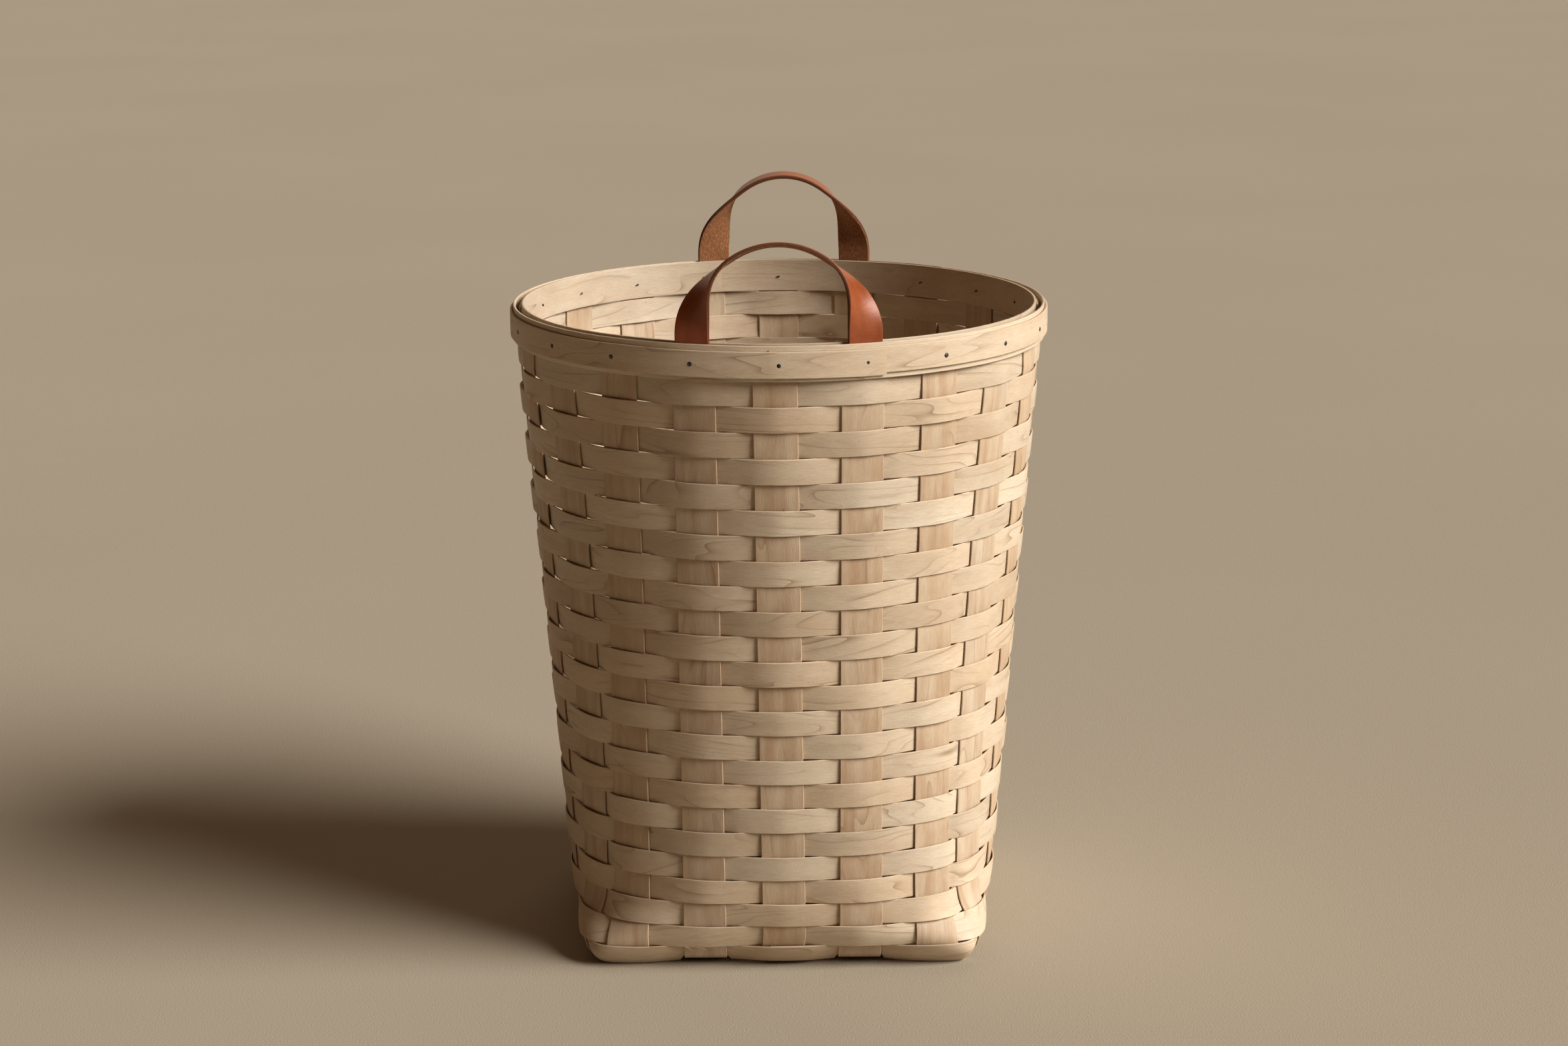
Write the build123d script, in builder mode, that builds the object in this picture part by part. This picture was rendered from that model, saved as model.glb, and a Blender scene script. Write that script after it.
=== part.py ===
"""Woven splint basket: a square base, a round rim and two leather strap handles.

Origin at the centre of the base on the floor, +Z up, front at -Y, millimetres.
The wall is one surface. At height z its horizontal outline is a rounded square
(a superellipse) that turns into a circle towards the rim. Uprights lie on that
surface, and the weaving rows wave in front of and behind them.
"""

import os
from bisect import bisect_left
from functools import lru_cache
from math import ceil, cos, exp, hypot, pi, radians, sin

from build123d import *

# ---- driving sizes
RIM_RADIUS = 203.0
RIM_TOP = 480.0

UPRIGHT_WIDTH = 31.8
UPRIGHT_THICK = 1.2
UPRIGHT_TOP = 477.0
UPRIGHTS_PER_FACE = 5

WEAVER_THICK = 1.0
ROW_COUNT = 24
ROW_PITCH = 19.1
ROW_GAP = 0.5
ROW_START = 4.6
CURVED_ROWS = 6
WEAVE_GAP = 0.4
WEAVE_BULGE = 0.5

FLOOR_LEVEL = 4.6
FLOOR_PITCH = 57.4
FLOOR_WAVE = 0.85
FOLD_TOP = 9.0

INNER_HOOP_THICK = 2.0
INNER_HOOP_HEIGHT = 26.0
BAND_THICK = 1.8
BAND_HEIGHT = 26.0
TRIM_THICK = 1.9
TRIM_HEIGHT = 19.0
TRIM_DROP = 4.5
PLY_GAP = 0.3

TACK_RADIUS = 0.8
TACK_HEAD_RADIUS = 1.75
TACK_HEAD_THICK = 0.7
TACK_LEVEL = RIM_TOP - TRIM_DROP - TRIM_HEIGHT / 2

STRAP_WIDTH = 25.4
STRAP_THICK = 3.0
TAIL_THICK = 2.4
TAIL_HEIGHT = 22.0
ARCH_HEIGHT = 69.0
HINGE_LIFT = 5.0
TWIST_HEIGHT = 54.0
FRONT_LEAN = 10.0
REAR_LEFT_ANGLE = 15.5

# ---- sizes that follow from them
BAND_RADIUS = RIM_RADIUS - TRIM_THICK - PLY_GAP
TAIL_RADIUS = BAND_RADIUS - BAND_THICK - PLY_GAP
RIM_UPRIGHT_RADIUS = TAIL_RADIUS - TAIL_THICK - PLY_GAP - UPRIGHT_THICK / 2
INNER_HOOP_RADIUS = RIM_UPRIGHT_RADIUS - UPRIGHT_THICK / 2 - PLY_GAP
UPRIGHT_STEP = 360 / (4 * UPRIGHTS_PER_FACE)
RIM_PITCH = RIM_UPRIGHT_RADIUS * radians(UPRIGHT_STEP)
TOP_ROW_LIMIT = RIM_TOP - 0.5 - BAND_HEIGHT - PLY_GAP
STRAP_RADIUS = TAIL_RADIUS - TAIL_THICK / 2
HALF_FACE = UPRIGHTS_PER_FACE // 2
EDGE_SHARES = (-1.0, -0.5, 0.0, 0.5, 1.0)


# ---- the wall surface
def half_width(z):
    """Half the basket's width at height z: a quick flare at the foot, then a gentle one."""
    return min(159.5 + 0.0816 * z - 23.0 * exp(-z / 20.0), RIM_UPRIGHT_RADIUS)


def slant(z):
    """Length of the sloping wall for one unit of height at height z."""
    return hypot(1.0, half_width(z + 0.5) - half_width(z - 0.5))


def squareness(z):
    """Superellipse exponent: high at the square foot and 2, a circle, at the rim."""
    taper = 0.65 * (1.0 - z / RIM_TOP) ** 2 + 1.1 * exp(-z / 43.0)
    return 2.0 + taper + 60.0 * exp(-z / 8.0)


@lru_cache(maxsize=None)
def outline_table(z):
    """Lengths along the outline from the middle of a face, with their polar angles."""
    steps = 180
    lengths, angles = [0.0], [0.0]
    last = None
    for i in range(steps + 1):
        angle = i * pi / 2 / steps
        n = squareness(z)
        radius = half_width(z) / (cos(angle) ** n + sin(angle) ** n) ** (1 / n)
        here = (radius * sin(angle), radius * cos(angle))
        if last:
            lengths.append(lengths[-1] + hypot(here[0] - last[0], here[1] - last[1]))
            angles.append(angle)
        last = here
    return lengths, angles


def outline_point(z, along, out=0.0):
    """Point on the outline, as (sideways, forward) from the axis, for a face.

    along is the length from the middle of the face, and out a distance outward.
    """
    lengths, angles = outline_table(z)
    side = -1.0 if along < 0 else 1.0
    reach = min(abs(along), lengths[-1])
    k = min(max(bisect_left(lengths, reach), 1), len(lengths) - 1)
    part = (reach - lengths[k - 1]) / (lengths[k] - lengths[k - 1])
    angle = angles[k - 1] + part * (angles[k] - angles[k - 1])
    n = squareness(z)
    s, c = sin(angle), cos(angle)
    radius = half_width(z) / (c**n + s**n) ** (1 / n)
    across, ahead = s ** (n - 1), c ** (n - 1)
    size = hypot(across, ahead)
    return side * (radius * s + out * across / size), radius * c + out * ahead / size


def upright_pitch(z):
    """Spacing of the uprights of one face, along the outline at height z."""
    return FLOOR_PITCH + (RIM_PITCH - FLOOR_PITCH) * z / RIM_TOP


def around(face, point):
    """Turn a (sideways, forward) point of the front face to one of the four faces."""
    x, y = point[0], -point[1]
    for _ in range(face):
        x, y = -y, x
    return x, y


def height_at(length):
    """Height reached after going a length up the sloping wall from the floor."""
    step = 0.25
    z = 0.0
    for _ in range(ceil(length / step)):
        z += step / slant(z)
    return z


# ---- weaving rows
def row_edges(row):
    """Lower and upper heights of a row, counted from 1 at the foot."""
    low = ROW_START + (row - 1) * ROW_PITCH
    high = min(height_at(low + ROW_PITCH - ROW_GAP), TOP_ROW_LIMIT)
    return height_at(low) if row > 1 else 0.0, high


def passes_over(row, upright_number):
    """Whether a row passes outside an upright; upright 0 is the front's left one."""
    return (row + upright_number + HALF_FACE) % 2 == 1


def row_loop(row, z, face_side):
    """Closed wavy outline of a row at height z, on its outer (+1) or inner (-1) face."""
    lift = UPRIGHT_THICK / 2 + WEAVE_GAP + WEAVER_THICK / 2
    points = []
    for i in range(4 * UPRIGHTS_PER_FACE):
        face, place = divmod(i, UPRIGHTS_PER_FACE)
        over = 1 if passes_over(row, i) else -1
        middle = (place - HALF_FACE) * upright_pitch(z)
        for share in (-1, 0, 1):
            wave = lift + WEAVE_BULGE * (1 - abs(share))
            out = (over * wave + face_side * WEAVER_THICK / 2) * slant(z)
            along = middle + share * UPRIGHT_WIDTH / 2
            points.append(around(face, outline_point(z, along, out)))
    return points


def weaver(row):
    """One closed hoop of the wall."""
    low, high = row_edges(row)
    steps = 1 + max(0, CURVED_ROWS - row)
    levels = [low + (high - low) * k / steps for k in range(steps + 1)]
    with BuildPart() as hoop:
        for face_side, mode in ((1, Mode.ADD), (-1, Mode.SUBTRACT)):
            for z in levels:
                with BuildSketch(Plane.XY.offset(z)):
                    with BuildLine():
                        Spline(*row_loop(row, z, face_side), periodic=True)
                    make_face()
            loft(ruled=True, mode=mode)
        if row == 1:
            lift_foot()
    return hoop.part


def lift_foot():
    """Trim the lowest row so that it stands on its corners and clears the floor strips."""
    half = 108.0
    rise = 3.0
    for plane in (Plane.XZ, Plane.YZ):
        with BuildSketch(plane) as arch:
            with BuildLine():
                ThreePointArc((-half, 0), (0, rise), (half, 0))
                Polyline((half, 0), (half, -rise), (-half, -rise), (-half, 0))
            make_face()
        extrude(arch.sketch, amount=RIM_RADIUS, both=True, mode=Mode.SUBTRACT)
    notch = 2 * (FLOOR_LEVEL + FLOOR_WAVE + UPRIGHT_THICK / 2 + 5 * WEAVE_GAP)
    notch_length = UPRIGHT_WIDTH + 6 * WEAVE_GAP
    notch_depth = 30.0
    for i in range(4 * UPRIGHTS_PER_FACE):
        if passes_over(1, i):
            continue
        face, place = divmod(i, UPRIGHTS_PER_FACE)
        middle = around(face, ((place - HALF_FACE) * FLOOR_PITCH, half_width(0)))
        along_x = face % 2 == 0
        sides = (notch_length, notch_depth) if along_x else (notch_depth, notch_length)
        with Locations(middle):
            Box(*sides, notch, mode=Mode.SUBTRACT)


# ---- uprights, each one strip that runs down a wall, across the floor and up again
def wall_heights():
    """Heights of an upright's sections, close together where the wall curves."""
    heights = [FOLD_TOP, 13.0, 18.0, 25.0, 35.0, 48.0, 65.0, 90.0, 125.0]
    while heights[-1] < 400.0:
        heights.append(heights[-1] + 50.0)
    return heights + [450.0, UPRIGHT_TOP]


def wall_section(column, z):
    """Outer and inner edges of an upright's section in the horizontal plane at z."""
    edges = []
    for face_side in (1, -1):
        out = face_side * UPRIGHT_THICK / 2 * slant(z)
        if z == FOLD_TOP:
            middle = column * FLOOR_PITCH
            ahead = fold_reach(column) + out
            edge = [(middle + s * UPRIGHT_WIDTH / 2, -ahead) for s in EDGE_SHARES]
        else:
            middle = column * upright_pitch(z)
            steps = [middle + s * UPRIGHT_WIDTH / 2 for s in EDGE_SHARES]
            edge = [around(0, outline_point(z, step, out)) for step in steps]
        edges.append(edge)
    return edges


def fold_reach(column):
    """Distance from the axis to the strip's middle at the top of its fold."""
    return outline_point(FOLD_TOP, column * FLOOR_PITCH)[1]


def floor_level(column, crossing, over_parity):
    """Height of a strip's middle where it crosses the strip number crossing."""
    over = (column + crossing) % 2 == over_parity
    return FLOOR_LEVEL + (FLOOR_WAVE if over else -FLOOR_WAVE)


def upright(column, over_parity):
    """One strip of the front and rear walls: over_parity says which crossings it tops."""
    left = column * FLOOR_PITCH - UPRIGHT_WIDTH / 2
    end = HALF_FACE * FLOOR_PITCH + UPRIGHT_WIDTH / 2
    end_level = floor_level(column, HALF_FACE, over_parity)
    with BuildPart() as strip:
        # front wall
        for z in wall_heights():
            outer, inner = wall_section(column, z)
            with BuildSketch(Plane.XY.offset(z)):
                with BuildLine():
                    Spline(*outer)
                    Line(outer[-1], inner[-1])
                    Spline(*reversed(inner))
                    Line(inner[0], outer[0])
                make_face()
        loft()
        # fold between wall and floor
        rise = (half_width(FOLD_TOP + 0.5) - half_width(FOLD_TOP - 0.5), 1.0)
        with BuildSketch(Plane.YZ.offset(left)):
            with BuildLine():
                corners = []
                for face_side in (1, -1):
                    half = face_side * UPRIGHT_THICK / 2
                    low = (-end, end_level - half)
                    high = (-fold_reach(column) - half * slant(FOLD_TOP), FOLD_TOP)
                    Spline(low, high, tangents=[(-1, 0), (-rise[0], rise[1])])
                    corners.append((low, high))
                Line(corners[0][0], corners[1][0])
                Line(corners[0][1], corners[1][1])
            make_face()
        extrude(amount=UPRIGHT_WIDTH)
        mirror(about=Plane.XZ)
        # floor
        for crossing in range(-HALF_FACE, HALF_FACE + 1):
            level = floor_level(column, crossing, over_parity)
            for side in (-1, 1):
                reach = UPRIGHT_WIDTH / 2 - (1.5 if side * crossing < HALF_FACE else 0.0)
                y = crossing * FLOOR_PITCH + side * reach
                floor_plane = Plane(origin=(0, y, level), x_dir=(1, 0, 0), z_dir=(0, 1, 0))
                with BuildSketch(floor_plane):
                    with Locations((column * FLOOR_PITCH, 0)):
                        Rectangle(UPRIGHT_WIDTH, UPRIGHT_THICK)
        loft(ruled=True)
    return strip.part


# ---- rim
def hoop(outer_radius, thickness, height, top):
    """A plain bent hoop of the rim."""
    with BuildPart() as ring:
        with BuildSketch(Plane.XY.offset(top - height)):
            Circle(outer_radius)
            Circle(outer_radius - thickness, mode=Mode.SUBTRACT)
        extrude(amount=height)
        top_edges = ring.edges().group_by(Axis.Z)[-1]
        chamfer(top_edges, 0.3)
    return ring.part


def tacks():
    """The tacks through the rim, one at every upright, with their points bent over."""
    shank_start = INNER_HOOP_RADIUS - INNER_HOOP_THICK - TACK_RADIUS
    shank_length = RIM_RADIUS - shank_start
    with BuildPart() as group:
        for i in range(4 * UPRIGHTS_PER_FACE):
            azimuth = i * UPRIGHT_STEP
            along = Vector(cos(radians(azimuth)), sin(radians(azimuth)), 0)
            base = Vector(0, 0, TACK_LEVEL)
            with BuildSketch(Plane(origin=base + along * shank_start, z_dir=along)):
                Circle(TACK_RADIUS)
            extrude(amount=shank_length)
            with BuildSketch(Plane(origin=base + along * RIM_RADIUS, z_dir=along)):
                Circle(TACK_HEAD_RADIUS)
            extrude(amount=TACK_HEAD_THICK, taper=25)
    return group.part


# ---- strap handles
def strap_tail(azimuth):
    """The clamped end of a strap, curved to fit between the rim's hoops."""
    with BuildPart() as tail:
        with BuildSketch(Plane.XY.offset(RIM_TOP - TAIL_HEIGHT - 0.5)):
            Circle(TAIL_RADIUS)
            Circle(TAIL_RADIUS - TAIL_THICK, mode=Mode.SUBTRACT)
            with PolarLocations(TAIL_RADIUS, 1, start_angle=azimuth):
                Rectangle(20, STRAP_WIDTH, mode=Mode.INTERSECT)
        extrude(amount=TAIL_HEIGHT)
    return tail.part


def eased(share):
    """Smooth step from 0 to 1."""
    share = min(1.0, share)
    return share**2 * (3 - 2 * share)


def tail_angle(ahead, turn):
    """Degrees round the rim from the middle of a side to a tail, turn being -1 for the left one."""
    return REAR_LEFT_ANGLE if ahead > 0 and turn < 0 else UPRIGHT_STEP


def strap_station(angle, ahead):
    """Plane across the strap at an angle along its half-elliptic arch.

    ahead is -1 for the front handle and +1 for the rear one. The strap leaves the
    rim facing outward and twists until its face looks up over the arch, and the
    front one leans a little further, so that its front edge stands higher.
    """
    rise = ARCH_HEIGHT - HINGE_LIFT
    lift = rise * sin(angle)
    left, right = tail_angle(ahead, -1), tail_angle(ahead, 1)
    start, end = -STRAP_RADIUS * sin(radians(left)), STRAP_RADIUS * sin(radians(right))
    share = (1 - cos(angle)) / 2
    facing = left + (right - left) * share
    reach = ahead * STRAP_RADIUS * cos(radians(facing))
    origin = Vector(start + (end - start) * share, reach, RIM_TOP + HINGE_LIFT + lift)
    tangent = Vector((end - start) / 2 * sin(angle), 0, rise * cos(angle))
    lean = FRONT_LEAN if ahead < 0 else 0.0
    turned = facing + (90 - facing) * eased(lift / TWIST_HEIGHT)
    twist = radians(turned + lean * eased(lift / rise))
    outward = Vector(-tangent.Z, 0, tangent.X).normalized()
    across = outward * cos(twist) - Vector(0, ahead, 0) * sin(twist)
    return Plane(origin=origin, x_dir=across, z_dir=tangent)


def strap_loop(ahead):
    """The free arch of one handle."""
    stations = 24
    with BuildPart() as loop:
        for i in range(stations + 1):
            with BuildSketch(strap_station(pi * i / stations, ahead)):
                RectangleRounded(STRAP_WIDTH, STRAP_THICK, 0.6)
        loft()
    return loop.part


# ---- the whole basket
def save(part, name):
    """Label a finished piece and write it to its own file."""
    part.label = name
    export_step(part, f"parts/{name}.step")


def main():
    """Make and write every piece."""
    os.makedirs("parts", exist_ok=True)
    for row in range(1, ROW_COUNT + 1):
        save(weaver(row), f"weaver_{row:02d}")
    for place in range(1, UPRIGHTS_PER_FACE + 1):
        column = place - 1 - HALF_FACE
        save(upright(column, 0), f"upright_front_rear_{place}")
        save(upright(column, 1).rotate(Axis.Z, 90), f"upright_left_right_{place}")
    inner_hoop = hoop(INNER_HOOP_RADIUS, INNER_HOOP_THICK, INNER_HOOP_HEIGHT, RIM_TOP)
    save(inner_hoop, "rim_inner_hoop")
    save(hoop(BAND_RADIUS, BAND_THICK, BAND_HEIGHT, RIM_TOP - 0.5), "rim_outer_band")
    save(hoop(RIM_RADIUS, TRIM_THICK, TRIM_HEIGHT, RIM_TOP - TRIM_DROP), "rim_outer_trim")
    save(tacks(), "rim_tacks")
    for name, ahead in (("front", -1), ("rear", 1)):
        save(strap_loop(ahead), f"handle_{name}_loop")
        for side, turn in (("left", -1), ("right", 1)):
            azimuth = 90 * ahead - ahead * turn * tail_angle(ahead, turn)
            save(strap_tail(azimuth), f"handle_{name}_tail_{side}")


main()
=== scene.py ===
"""Looks of a woven splint basket with two leather strap handles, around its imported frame.

Every strip is built from its own middle surface: rows of points along the strip and
across it, in millimetres, which solid_strip() thickens, turns to metres and maps with
U along the strip and V across it, both in metres. The wall surface is the CAD's: a
rounded square at the foot that turns into a circle at the rim.
"""

from math import cos, pi, radians, sin

import bmesh
import bpy
import numpy as np
from mathutils import Matrix, Vector


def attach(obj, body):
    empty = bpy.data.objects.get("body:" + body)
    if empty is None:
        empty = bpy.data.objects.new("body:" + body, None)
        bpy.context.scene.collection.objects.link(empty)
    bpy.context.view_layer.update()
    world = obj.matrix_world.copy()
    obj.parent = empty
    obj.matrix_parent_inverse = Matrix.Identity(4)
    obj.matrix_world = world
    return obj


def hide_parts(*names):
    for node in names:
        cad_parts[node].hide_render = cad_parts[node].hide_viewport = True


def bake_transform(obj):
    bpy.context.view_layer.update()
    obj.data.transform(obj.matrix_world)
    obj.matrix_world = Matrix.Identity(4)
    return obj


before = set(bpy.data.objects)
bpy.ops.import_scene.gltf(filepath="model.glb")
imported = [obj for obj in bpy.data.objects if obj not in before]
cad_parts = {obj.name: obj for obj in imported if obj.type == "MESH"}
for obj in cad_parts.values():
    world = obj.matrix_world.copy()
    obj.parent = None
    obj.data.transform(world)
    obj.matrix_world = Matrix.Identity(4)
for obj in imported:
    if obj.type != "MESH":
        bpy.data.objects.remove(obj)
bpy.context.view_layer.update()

MM = 0.001
dice = np.random.default_rng(24)

# ---- the CAD's driving sizes, in millimetres
RIM_RADIUS = 203.0
RIM_TOP = 480.0
UPRIGHT_WIDTH = 31.8
UPRIGHT_THICK = 1.2
UPRIGHT_TOP = 477.0
UPRIGHTS_PER_FACE = 5
UPRIGHTS = 4 * UPRIGHTS_PER_FACE
HALF_FACE = UPRIGHTS_PER_FACE // 2
WEAVER_THICK = 1.0
ROW_COUNT = 24
ROW_PITCH = 19.1
ROW_GAP = 0.5
ROW_START = 4.6
FLOOR_LEVEL = 4.6
FLOOR_PITCH = 57.4
FLOOR_WAVE = 0.85
FOLD_TOP = 9.0
INNER_HOOP_THICK = 2.0
BAND_THICK = 1.8
TRIM_THICK = 1.9
PLY_GAP = 0.3
STRAP_WIDTH = 25.4
STRAP_THICK = 3.0
TAIL_THICK = 2.4
TAIL_HEIGHT = 22.0
ARCH_HEIGHT = 69.0
HINGE_LIFT = 5.0
TACK_LEVEL = 466.0
TOP_ROW_LIMIT = 453.2

BAND_RADIUS = RIM_RADIUS - TRIM_THICK - PLY_GAP
TAIL_RADIUS = BAND_RADIUS - BAND_THICK - PLY_GAP
RIM_UPRIGHT_RADIUS = TAIL_RADIUS - TAIL_THICK - PLY_GAP - UPRIGHT_THICK / 2
INNER_HOOP_RADIUS = RIM_UPRIGHT_RADIUS - UPRIGHT_THICK / 2 - PLY_GAP
STEP_ANGLE = 360.0 / UPRIGHTS
RIM_PITCH = RIM_UPRIGHT_RADIUS * radians(STEP_ANGLE)
STRAP_RADIUS = TAIL_RADIUS - TAIL_THICK / 2
STRAP_REACH = STRAP_RADIUS * cos(radians(STEP_ANGLE))

# ---- how the strips lie, finer than in the CAD
WEAVE_LIFT = 1.32  # middle of a weaver from the middle of the uprights, at an upright's edge
WEAVE_BULGE = 0.95  # how much further it stands at the upright's middle
UPRIGHT_WAVE = 0.3  # how far rows push an upright in and out
EDGE_ROUND = 0.28  # rounding along a splint's cut edges
HOOP_ROUND = 0.35  # the same along the rim's hoops
STRAP_ROUND = 0.55  # and along the leather
EDGE_BAND = 0.3  # a narrow band beside the rounding keeps the rest of a splint flat
ROW_CLOSE = 0.18  # how much of the CAD's gap between rows each row closes from its side
TOP_ROW_EXTRA = 0.4  # the top row runs on up to the hoops
INNER_SHIFT = 2.3  # V of a strip's inner face from its outer face's, in widths


# ---- the wall surface
def half_width(z):
    """Half the basket's width at height z."""
    return np.minimum(159.5 + 0.0816 * z - 23.0 * np.exp(-z / 20.0), RIM_UPRIGHT_RADIUS)


def slant(z):
    """Length of the sloping wall for one unit of height."""
    return np.hypot(1.0, half_width(z + 0.5) - half_width(z - 0.5))


def squareness(z):
    """Superellipse exponent of the outline."""
    taper = 0.65 * (1.0 - z / RIM_TOP) ** 2 + 1.1 * np.exp(-z / 43.0)
    return 2.0 + taper + 60.0 * np.exp(-z / 8.0)


def upright_pitch(z):
    """Spacing of the uprights of one face at height z."""
    return FLOOR_PITCH + (RIM_PITCH - FLOOR_PITCH) * z / RIM_TOP


QUARTER = np.linspace(0.0, pi / 2, 241)
TABLE_STEP = 0.5
TABLE_HEIGHTS = np.arange(0.0, RIM_TOP + 5.0, TABLE_STEP)


def outline_lengths(z):
    """Lengths along the outline at height z, from a face's middle to each angle in QUARTER."""
    n = squareness(z)
    s, c = np.sin(QUARTER), np.cos(QUARTER)
    radius = half_width(z) / (c**n + s**n) ** (1 / n)
    x, y = radius * s, radius * c
    return np.concatenate([[0.0], np.cumsum(np.hypot(np.diff(x), np.diff(y)))])


OUTLINES = np.array([outline_lengths(z) for z in TABLE_HEIGHTS])
FACE_LENGTHS = OUTLINES[:, -1]
SLOPE_STEPS = slant(TABLE_HEIGHTS[:-1] + TABLE_STEP / 2) * TABLE_STEP
SLOPE_LENGTHS = np.concatenate([[0.0], np.cumsum(SLOPE_STEPS)])


def outline(z, along, out):
    """Points (sideways, forward) of a face at lengths along from its middle, moved outward."""
    z, along, out = np.broadcast_arrays(z, along, out)
    angle = np.empty(z.shape)
    level = np.clip(np.round(z / TABLE_STEP).astype(int), 0, len(TABLE_HEIGHTS) - 1)
    for k in np.unique(level):
        here = level == k
        angle[here] = np.interp(np.abs(along[here]), OUTLINES[k], QUARTER)
    n = squareness(z)
    s, c = np.sin(angle), np.cos(angle)
    radius = half_width(z) / (c**n + s**n) ** (1 / n)
    across, ahead = s ** (n - 1), c ** (n - 1)
    size = np.hypot(across, ahead)
    side = np.where(along < 0, -1.0, 1.0)
    return side * (radius * s + out * across / size), radius * c + out * ahead / size


def wall_points(face, z, along, out):
    """Points (x, y, z) on one or more faces. Face 0 is the front, at -Y."""
    side, ahead = outline(z, along, out)
    turn = np.broadcast_to(np.asarray(face, float), side.shape) * pi / 2
    x, y = side, -ahead
    c, s = np.cos(turn), np.sin(turn)
    return np.stack([x * c - y * s, x * s + y * c, z + 0 * x], -1)


def height_at(length):
    """Height reached after going a length up the wall from the floor."""
    return np.interp(length, SLOPE_LENGTHS, TABLE_HEIGHTS)


# Each upright leans a little off even spacing: its shift at the foot and at the rim.
LEANS = dice.uniform(-1.1, 1.1, (UPRIGHTS, 2))
FRONT_MIDDLE = HALF_FACE
LEANS[FRONT_MIDDLE] = (1.8, -3.2)


def upright_middle(i, z):
    """Length from its face's middle to upright i (0 is the front's left one) at height z."""
    i = np.asarray(i) % UPRIGHTS
    place = i % UPRIGHTS_PER_FACE - HALF_FACE
    share = np.clip(z / RIM_TOP, 0, 1)
    settle = np.clip((z - FOLD_TOP) / 20.0, 0, 1)
    lean = LEANS[i, 0] * (1 - share) + LEANS[i, 1] * share
    return place * upright_pitch(z) + lean * settle


# ---- meshes
def add_object(name, data):
    """A new object in the scene."""
    thing = bpy.data.objects.new(name, data)
    bpy.context.scene.collection.objects.link(thing)
    return thing


def smooth(share):
    """Eased 0 to 1."""
    share = np.clip(share, 0.0, 1.0)
    return share * share * (3 - 2 * share)


def wander(x, size, wave, rng):
    """Slow seeded wandering of about the given size along x."""
    total = np.zeros(np.shape(x))
    for _ in range(4):
        length = wave * rng.uniform(0.5, 1.9)
        total += np.sin(2 * pi * np.asarray(x) / length + rng.uniform(0, 2 * pi))
    return total * size / 2


def shares_across(width, count, edge):
    """Positions -1 to 1 across a strip, with two narrow bands at each edge for its rounding."""
    first, second = 1 - 2 * edge / width, 1 - 2 * (edge + EDGE_BAND) / width
    inner = np.linspace(-second, second, count)
    return np.concatenate([[-1.0, -first], inner, [first, 1.0]])


def solid_strip(name, middle, shares, width, thick, edge=EDGE_ROUND, u_start=0.0, parts=None):
    """A strip with thickness from its middle surface, as an object in metres.

    middle has points in rows along the strip and columns across it, and thick is a
    number or one per row. The outer face is on the side of rows x columns.
    """
    rows, columns = middle.shape[:2]
    along = np.gradient(middle, axis=0)
    across = np.gradient(middle, axis=1)
    normal = np.cross(along, across)
    normal /= np.linalg.norm(normal, axis=-1, keepdims=True)
    half = np.broadcast_to(np.asarray(thick, float) / 2, (rows,))[:, None]
    lift = np.repeat(half, columns, axis=1)
    trim = np.minimum(edge, half * 0.75)[:, 0]
    lift[:, 0] -= trim
    lift[:, -1] -= trim
    outer = middle + normal * lift[..., None]
    inner = middle - normal * lift[..., None]
    ring = np.concatenate([outer, inner[:, ::-1]], axis=1)
    around = ring.shape[1]
    centre = middle[:, columns // 2]
    run = np.concatenate([[0.0], np.cumsum(np.linalg.norm(np.diff(centre, axis=0), axis=1))])
    u = run * MM + u_start
    v_outer = shares * width / 2 * MM
    v = np.concatenate([v_outer, v_outer[::-1] + INNER_SHIFT * width * MM])
    index = np.arange(rows * around).reshape(rows, around)
    nxt = np.roll(index, -1, axis=1)
    quads = np.stack([index[:-1], nxt[:-1], nxt[1:], index[1:]], -1).reshape(-1, 4)
    faces = [tuple(q) for q in quads.tolist()]
    faces.append(tuple(index[0][::-1].tolist()))
    faces.append(tuple(index[-1].tolist()))
    mesh = bpy.data.meshes.new(name)
    mesh.from_pydata((ring.reshape(-1, 3) * MM).tolist(), [], faces)
    uu = np.repeat(u, around)
    vv = np.tile(v, rows)
    loops = np.zeros(len(mesh.loops), np.int32)
    mesh.loops.foreach_get("vertex_index", loops)
    layer = mesh.uv_layers.new(name="UVMap")
    layer.data.foreach_set("uv", np.stack([uu[loops], vv[loops]], -1).ravel().astype(np.float32))
    rim = np.zeros((rows, around), np.float32)
    rim[:, [0, columns - 1, columns, around - 1]] = 1.0
    rim[[0, -1]] = 1.0
    mark = mesh.attributes.new("cut_edge", "FLOAT", "POINT")
    mark.data.foreach_set("value", rim.ravel())
    mesh.polygons.foreach_set("use_smooth", np.ones(len(mesh.polygons), bool))
    if parts is not None:
        # material per column band: the outer face, the far edge, the inner face, the near edge
        band = np.zeros(around, np.int32)
        band[columns - 1 : columns] = parts["edge"]
        band[columns : around - 1] = parts["inner"]
        band[around - 1] = parts["edge"]
        slots = np.concatenate([np.tile(band, rows - 1), [parts["edge"], parts["edge"]]])
        mesh.polygons.foreach_set("material_index", slots.astype(np.int32))
    mesh.set_sharp_from_angle(angle=radians(52))
    mesh.validate()
    mesh.update()
    return add_object(name, mesh)


# ---- weaving rows
def passes_over(row, i):
    """Whether a row, counted from 1 at the foot, passes outside upright i."""
    return (row + i + HALF_FACE) % 2 == 1


def cubic(t, start, leave, finish, arrive):
    """Curve from start to finish as t goes from 0 to 1, with the slopes leave and arrive."""
    return (
        (2 * t**3 - 3 * t**2 + 1) * start
        + (t**3 - 2 * t**2 + t) * leave
        + (-2 * t**3 + 3 * t**2) * finish
        + (t**3 - t**2) * arrive
    )


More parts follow.
